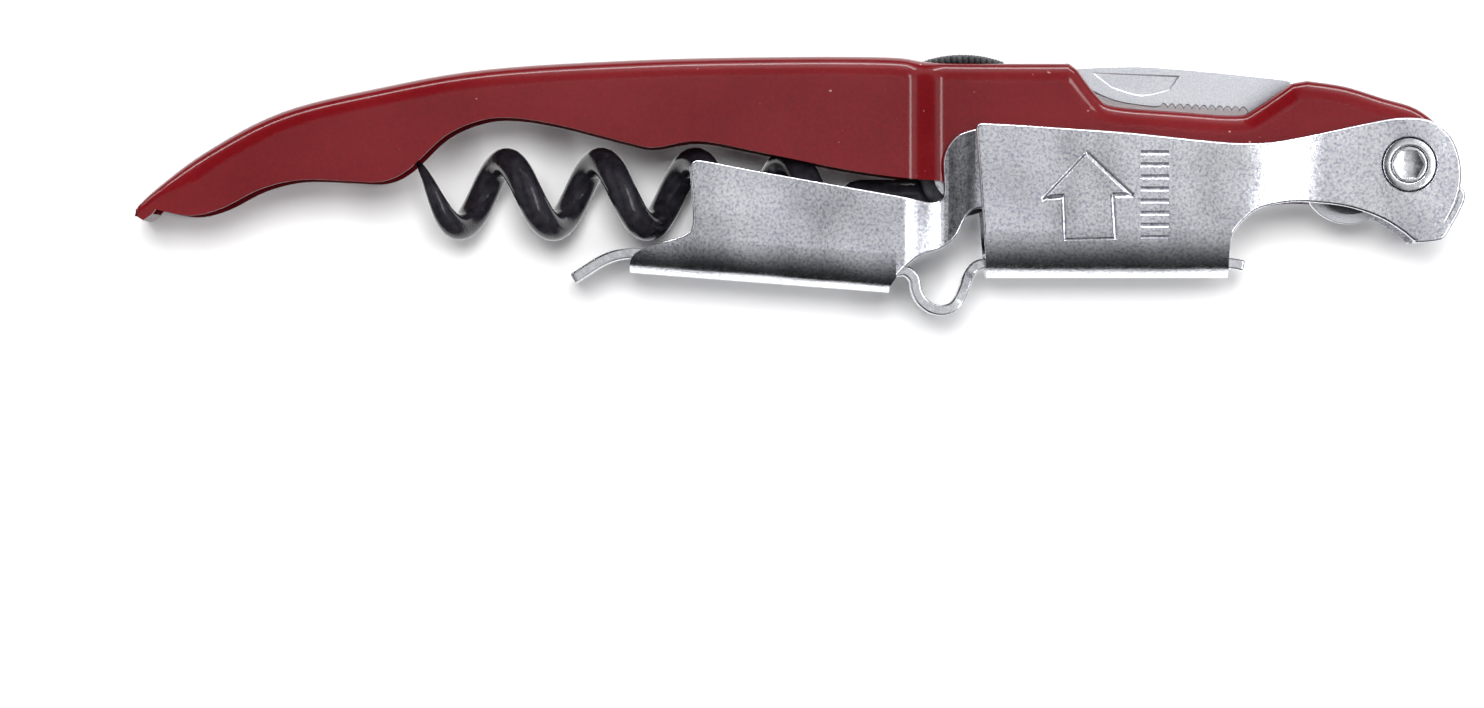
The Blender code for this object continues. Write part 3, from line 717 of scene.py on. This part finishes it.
def engrave(start, end, half_width, depth):
    """Cut one V-shaped stroke into the near side plate."""
    start = Vector((*start, 0))
    end = Vector((*end, 0))
    rise = 0.2
    reach = half_width * (depth + rise) / depth
    stroke = prism("stroke", [[(-reach, rise), (0, -depth), (reach, rise)]],
                   0, (end - start).length)
    along = (end - start).normalized()
    across = Vector((-along.y, along.x, 0))
    turn = Matrix((across, (0, 0, 1), along)).transposed().to_4x4()
    stroke.data.transform(Matrix.Translation((start + Vector((0, 0, HALF))) * MM) @ turn)
    cut(first, stroke)


for corner, following in zip(ARROW, ARROW[1:] + ARROW[:1]):
    step = (Vector(following) - Vector(corner)).normalized() * 0.1
    engrave(Vector(corner) - step, Vector(following) + step, *STROKE)
for index in range(BARS):
    height = BAR_TOP - BAR_STEP * index
    engrave((BAR_LEFT, height), (BAR_RIGHT, height), *BAR_STROKE)
shade(first)
place(first, "first_lever", "first", ["lever_first"], STEEL, "lever_steel")

SECOND_TOP = [(-10.7, 1.7), (-10.3, 2.2), (-9.2, 2.25), (-4.3, 1.3), (4.1, -0.2),
              (9.7, -1.2), (12.2, -1.7), (13.3, -1.4), (13.6, -0.5), (13.5, 2.4),
              (14.3, 4.2), (15.8, 5.1), (19.4, 5.6), (22.4, 4.2), (23.5, 1.5)]
SECOND_LOW = [(22.4, -1.2), (19.6, -2.6), (17.0, -2.3), (15.8, -3.0), (14.8, -4.9),
              (13.6, -6.0), (11.2, -6.9), (9.6, -8.2), (8.4, -9.8)]
SNOUT = [(-16.4, -8.6), (-16.35, -7.3), (-15.6, -6.4), (-13.6, -5.6), (-11.2, -4.8),
         (-10.4, -3.8), (-10.5, -1.0)]
second = bent_channel("second", 0, SECOND_BEND, -6, 26.2)
second.data.transform(Matrix.Translation(SECOND_WEB * MM)
                      @ Matrix.Rotation(SECOND_SLOPE, 4, "Z"))
cut(second, box("channel_end", (9.7, -20, -8), (40, 30, 8)))
ear_width = drawn_in(SECOND_STEP, SECOND_SLIM, EAR_HOLLOW)
join(second, side_walls("ears", 9.0, SECOND_STEP, 30, ear_width, -9.5, 12))
second_side = spline(SECOND_TOP, 6) + spline(SECOND_LOW, 5)
second_side += [(8.2, -12.0), (-16.4, -10.0)] + spline(SNOUT, 6)
keep_inside(second, rim_solid("second_side", second_side, ear_width, RIM))
cut(second, post("ear_bore", EAR_PIVOT, EAR_BORE, -THROUGH, THROUGH))
shade(second)
place(second, "second_lever", "second", ["lever_second"], STEEL, "lever_steel")

# ---- spring strip --------------------------------------------------------------------
STRIP = [(-21.9, -9.0), (-20.5, -8.1), (-19.2, -7.3), (-17.8, -6.75), (-16.2, -6.55),
         (-14.5, -6.75), (-11.0, -7.1), (-4.0, -7.68), (3.0, -8.2), (7.5, -8.55),
         (9.0, -8.3), (10.0, -8.25), (10.8, -9.0), (11.0, -10.1), (11.5, -11.1),
         (12.4, -11.8), (13.4, -12.0), (14.4, -11.75), (15.1, -11.0), (15.6, -9.9),
         (16.0, -8.7), (16.7, -7.8), (17.8, -7.5), (20.0, -7.5)]


def strip_solid(path):
    """Strip with one ring of four corners for each point of its path."""
    upper = offset_path(path, STRIP_HALF)
    lower = offset_path(path, -STRIP_HALF)
    body = bmesh.new()
    rings = []
    for (x, _), high, low in zip(path, upper, lower):
        half = STRIP_WIDE + (STRIP_SLIM - STRIP_WIDE) * ease((x - 14.8) / 1.6)
        corners = [(high, half), (high, -half), (low, -half), (low, half)]
        rings.append([body.verts.new((p[0] * MM, p[1] * MM, z * MM)) for p, z in corners])
    for first_ring, second_ring in zip(rings, rings[1:]):
        for index in range(4):
            after = (index + 1) % 4
            body.faces.new((first_ring[index], first_ring[after],
                            second_ring[after], second_ring[index]))
    body.faces.new(rings[0][::-1])
    body.faces.new(rings[-1])
    bmesh.ops.recalc_face_normals(body, faces=body.faces)
    mesh = bpy.data.meshes.new("strip")
    body.to_mesh(mesh)
    body.free()
    return new_object("strip", mesh)


strip = strip_solid(spline(STRIP, 6) + [(26.0, -7.5), (33.0, -7.5), (41.0, -7.5),
                                        (41.8, -7.6), (42.4, -7.75)])
soften(strip, 0.4, 4)
apply_modifiers(strip)
place(strip, "spring_strip", None, ["leaf_spring"], BRIGHT, "bright_steel")
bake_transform(strip)


# ---- worm ----------------------------------------------------------------------------
def worm_coil():
    """Pointed wire coil that runs in to a straight shank on its own axis."""
    data = bpy.data.curves.new("coil", "CURVE")
    data.dimensions = "3D"
    data.bevel_depth = WORM_WIRE * MM
    data.bevel_resolution = 8
    data.use_fill_caps = True
    points = []
    steps = int(WORM_TURNS * 48)
    for step in range(steps + 1):
        turn = WORM_TURNS * step / steps
        thick = 1.0
        reach = WORM_COIL
        if turn < POINT_TURNS:
            thick = max(0.06, math.sin(math.pi / 2 * turn / POINT_TURNS))
            reach = WORM_COIL + POINT_FLARE * (1 - turn / POINT_TURNS)
        if turn > SHANK_TURN:
            reach = WORM_COIL * max(0.0, 1 - (turn - SHANK_TURN) / 0.55) ** 0.8
        angle = 2 * math.pi * turn
        points.append((WORM_TIP_X + WORM_PITCH * turn,
                       WORM_AXIS_Y + reach * math.cos(angle),
                       reach * math.sin(angle), thick))
    end = points[-1][0]
    for step in range(1, 4):
        points.append((end + (SHANK_END_X - end) * step / 3, WORM_AXIS_Y, 0, 1.0))
    line = data.splines.new("POLY")
    line.points.add(len(points) - 1)
    for index, (x, y, z, thick) in enumerate(points):
        line.points[index].co = (x * MM, y * MM, z * MM, 1)
        line.points[index].radius = thick
    drawn = new_object("coil", data)
    mesh = evaluated_mesh(drawn)
    bpy.data.objects.remove(drawn, do_unlink=True)
    clean(mesh)
    for face in mesh.polygons:
        face.use_smooth = True
    return new_object("coil", mesh)


place(worm_coil(), "worm_coil", "worm_arm", ["worm"], COATING, "black_coating")


def knurled_rim():
    """Cross-cut rim patch on the thumb fan."""
    body = bmesh.new()
    columns, rows = 84, 44
    sweep = FAN_ANGLES[1] - FAN_ANGLES[0]
    grid = []
    for column in range(columns + 1):
        angle = math.radians(FAN_ANGLES[0] + sweep * column / columns)
        line = []
        for row in range(rows + 1):
            z = -KNURL_HALF + 2 * KNURL_HALF * row / rows
            wave = abs(math.sin(math.pi * (column / KNURL_CELL + row / KNURL_CELL)))
            other = abs(math.sin(math.pi * (column / KNURL_CELL - row / KNURL_CELL)))
            reach = KNURL_RADIUS + KNURL_HEIGHT * wave * other
            line.append(body.verts.new(((WORM_PIVOT.x + reach * math.cos(angle)) * MM,
                                        (WORM_PIVOT.y + reach * math.sin(angle)) * MM,
                                        z * MM)))
        grid.append(line)
    for first_line, second_line in zip(grid, grid[1:]):
        for row in range(rows):
            body.faces.new((first_line[row], second_line[row],
                            second_line[row + 1], first_line[row + 1]))
    bmesh.ops.recalc_face_normals(body, faces=body.faces)
    mesh = bpy.data.meshes.new("rim")
    body.to_mesh(mesh)
    body.free()
    rim = new_object("rim", mesh)
    step = rim.modifiers.new("thick", "SOLIDIFY")
    step.thickness = KNURL_SHEET * MM
    step.offset = 0
    apply_modifiers(rim)
    for face in rim.data.polygons:
        face.use_smooth = True
    return rim


fan = arc(WORM_PIVOT, FAN_RADIUS, *FAN_ANGLES, 14)
fan += arc(WORM_PIVOT, HUB_RADIUS, 135, 405, 48)
hub = prism("hub", [fan], -HUB_HALF, HUB_HALF)
cut(hub, post("hub_bore", WORM_PIVOT, PIN_BORE, -THROUGH, THROUGH))
soften(hub, 0.25)
place(hub, "thumb_hub", "worm_arm", ["worm_hub"], PLASTIC, "black_plastic")
place(knurled_rim(), "thumb_knurl", "worm_arm", ["worm_hub"], PLASTIC, "black_plastic")

# ---- knife ---------------------------------------------------------------------------
BLADE_BACK = [(25.0, 11.0), (27.0, 11.25), (32.3, 11.4), (37.5, 11.05), (42.6, 10.55),
              (46.6, 10.1)]
BLADE_NECK = [(48.2, 9.2), (48.8, 7.4), (48.9, 5.2), (50.4, 3.0)]
TANG_LEFT = [(46.5, 2.6), (45.0, 5.2), (43.0, 6.75)]
BLADE_TIP = [(34.4, 7.45), (30.5, 8.0), (27.6, 9.2), (25.2, 10.7)]


def serrated_edge():
    """Round scallops from right to left along the blade's rising edge."""
    found = []
    left, right = SERRATED
    width = (right - left) / SERRATIONS
    for index in range(SERRATIONS):
        start = right - width * index
        for step in range(8):
            t = step / 8
            x = start - width * t
            rise = SERRATION_DEPTH * math.sin(math.pi * t)
            found.append((x, EDGE_Y + (right - x) * EDGE_SLOPE + rise))
    return found


blade_outline = spline(BLADE_BACK, 6) + spline(BLADE_NECK, 6)
blade_outline += arc(KNIFE_PIVOT, TANG_NECK_RADIUS, 62, -38, 20)
blade_outline += arc(KNIFE_PIVOT, TANG_RADIUS, -58, -142, 24)
blade_outline += spline(TANG_LEFT, 5) + serrated_edge() + spline(BLADE_TIP, 6)[1:]
blade = prism("blade", [blade_outline], -BLADE_HALF, BLADE_HALF)
cut(blade, post("blade_bore", KNIFE_PIVOT, PIN_BORE, -THROUGH, THROUGH))
NICK = spline([(28.0, 10.75), (36.2, 10.45)], 1) + spline([(35.4, 9.2), (32.6, 8.6),
                                                           (29.8, 9.4)], 6)
for side in (1, -1):
    low, high = sorted((0.5 * side, 1.2 * side))
    cut(blade, prism("nick", [NICK], low, high))
soften(blade, 0.07, 2)
place(blade, "foil_knife", "knife", ["knife_blade"], BLADE, "bright_steel")

# ---- hinge ---------------------------------------------------------------------------
sleeve = turned("sleeve", [
    (1.8, 5.22), (1.9, 5.32), (2.4, 5.32), (2.5, 5.27), (2.48, 5.18), (2.25, 4.95),
    (2.25, -4.95), (2.48, -5.18), (2.5, -5.27), (2.4, -5.32), (1.9, -5.32),
    (1.8, -5.22), (1.8, -4.1), (1.15, -4.1), (1.15, 4.1), (1.8, 4.1), (1.8, 5.22)],
    LEVER_PIVOT, 96)
soften(sleeve, 0.04, 2)
place(sleeve, "hinge_sleeve", "handle", ["lever_sleeve"], BRIGHT, "bright_steel")
for name, node, side in (("hinge_screw", "lever_screw", 1),
                         ("hinge_nut", "lever_nut", -1)):
    head = turned("head", [
        (0, 5.25), (1.6, 5.25), (1.72, 5.13), (1.72, 4.15), (1.08, 4.15), (1.08, 0.6),
        (0, 0.6)], LEVER_PIVOT, 96)
    cut(head, post("hex", LEVER_PIVOT, 1.5, 4.75, 6, 6))
    soften(head, 0.06, 2)
    apply_modifiers(head)
    if side < 0:
        turn = Matrix.Rotation(math.pi, 4, "X")
        pivot = Matrix.Translation(LEVER_PIVOT * MM)
        head.data.transform(pivot @ turn @ pivot.inverted())
    for face in head.data.polygons:
        face.use_smooth = True
    head.data.set_sharp_from_angle(angle=math.radians(35))
    place(head, name, "handle", [node], BRIGHT, "bright_steel")

# CAD pieces that are shown as they are, with the material that each one gets.
KEPT = {
    BRIGHT: ["rivet_first_a", "rivet_first_b", "rivet_second_a", "rivet_second_b",
             "worm_pin", "knife_pin", "ear_stud_near", "ear_stud_far"],
    STEEL: ["worm_washer_near", "worm_washer_far"],
    PLASTIC: ["knife_spacer_near", "knife_spacer_far"],
}
for material, names in KEPT.items():
    for name in names:
        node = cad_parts[name]
        if not node.data.materials:
            node.data.materials.append(material)
        for slot in node.material_slots:
            slot.material = material


# ---- floor, light, camera --------------------------------------------------------------
FLOOR_SIZE = 4.0
WORLD_STRENGTH = 2.9


def white_floor():
    """Plain square floor; bright metal doesn't mirror it."""
    material = bpy.data.materials.new("floor_white")
    material.use_nodes = True
    shader = material.node_tree.nodes["Principled BSDF"]
    shader.inputs["Base Color"].default_value = (0.93, 0.93, 0.93, 1)
    shader.inputs["Roughness"].default_value = 0.9
    shader.inputs["Specular IOR Level"].default_value = 0.1
    mesh = bpy.data.meshes.new("floor")
    body = bmesh.new()
    bmesh.ops.create_grid(body, x_segments=1, y_segments=1, size=FLOOR_SIZE / 2)
    body.to_mesh(mesh)
    body.free()
    mesh.materials.append(material)
    panel = new_object("floor", mesh)
    panel.visible_glossy = False
    return panel


floor = white_floor()


def area_light(name, power, size, location, aim, glossy=False):
    """Rectangular lamp, watts and metres; metal mirrors it only when glossy is set."""
    data = bpy.data.lights.new(name, "AREA")
    data.shape = "RECTANGLE"
    data.size = size[0]
    data.size_y = size[1]
    data.energy = power
    lamp = new_object(name, data)
    lamp.visible_glossy = glossy
    lamp.location = location
    towards = Vector(aim) - Vector(location)
    lamp.rotation_euler = towards.to_track_quat("-Z", "Y").to_euler()


area_light("key", 21.0, (0.60, 0.45), (-0.05, 0.35, 1.60), (0, 0, 0))
area_light("strip_back", 4.5, (1.4, 0.08), (0.0, 0.70, 0.12), (0, 0, 0.005), glossy=True)
area_light("strip_right", 2.1, (0.7, 0.14), (0.40, 0.0, 0.59), (0, 0, 0), glossy=True)


def studio_world():
    """Grey overhead, paler to the right and far back, dark in front, pale below."""
    world = bpy.data.worlds.new("studio")
    world.use_nodes = True
    nodes = world.node_tree.nodes
    links = world.node_tree.links
    place = nodes.new("ShaderNodeTexCoord")
    parts = nodes.new("ShaderNodeSeparateXYZ")
    links.new(place.outputs["Generated"], parts.inputs["Vector"])

    def level(axis, stops):
        """Grey level along one axis; stops run from -1 to 1."""
        shift = nodes.new("ShaderNodeMapRange")
        shift.inputs["From Min"].default_value = -1
        links.new(parts.outputs[axis], shift.inputs["Value"])
        ramp = nodes.new("ShaderNodeValToRGB")
        points = ramp.color_ramp.elements
        while len(points) < len(stops):
            points.new(0.5)
        for point, (position, grey) in zip(points, stops):
            point.position = (position + 1) / 2
            point.color = (grey, grey, grey * 1.01, 1)
        links.new(shift.outputs["Result"], ramp.inputs["Fac"])
        return ramp.outputs["Color"]

    def both(kind, first, second):
        node = nodes.new("ShaderNodeMix")
        node.data_type = "RGBA"
        node.blend_type = kind
        node.inputs[0].default_value = 1.0
        links.new(first, node.inputs[6])
        links.new(second, node.inputs[7])
        return node.outputs[2]

    above = level("Z", [(-0.2, 0.0), (0.0, 0.9), (0.5, 0.80), (0.9, 0.65), (1.0, 0.62)])
    along = level("X", [(-1.0, 0.35), (-0.62, 0.7), (-0.48, 0.06), (-0.15, 0.06),
                        (-0.06, 0.55), (-0.015, 0.86), (0.012, 0.92), (0.036, 0.67),
                        (0.08, 0.66), (0.32, 0.80), (0.82, 0.95), (0.90, 0.10),
                        (1.0, 0.08)])
    across = level("Y", [(-1.0, 0.02), (-0.85, 0.09), (-0.6, 0.22), (-0.26, 0.42),
                         (-0.17, 0.30), (-0.11, 0.30), (-0.05, 0.55), (0.12, 0.60),
                         (0.35, 0.38), (0.72, 0.30), (0.90, 0.95), (1.0, 0.95)])
    below = level("Z", [(-1.0, 0.0), (-0.985, 0.5), (-0.50, 0.55), (-0.34, 0.0),
                        (1.0, 0.0)])
    light = both("ADD", both("MULTIPLY", both("MULTIPLY", above, along), across), below)
    links.new(light, nodes["Background"].inputs["Color"])
    nodes["Background"].inputs["Strength"].default_value = WORLD_STRENGTH
    bpy.context.scene.world = world


studio_world()

# The camera looks straight down from far off.
LENS = 200
SENSOR = 36
FRAME_WIDTH = 0.1416                      # metres across the picture at FOCUS_Z
FOCUS_Z = 0.0115
camera_data = bpy.data.cameras.new("camera")
camera_data.lens = LENS
camera_data.sensor_width = SENSOR
camera = new_object("camera", camera_data)
camera.location = (-0.00565, -0.01605, FOCUS_Z + FRAME_WIDTH * LENS / SENSOR)
bpy.context.scene.camera = camera
bpy.context.scene.view_settings.view_transform = "Standard"
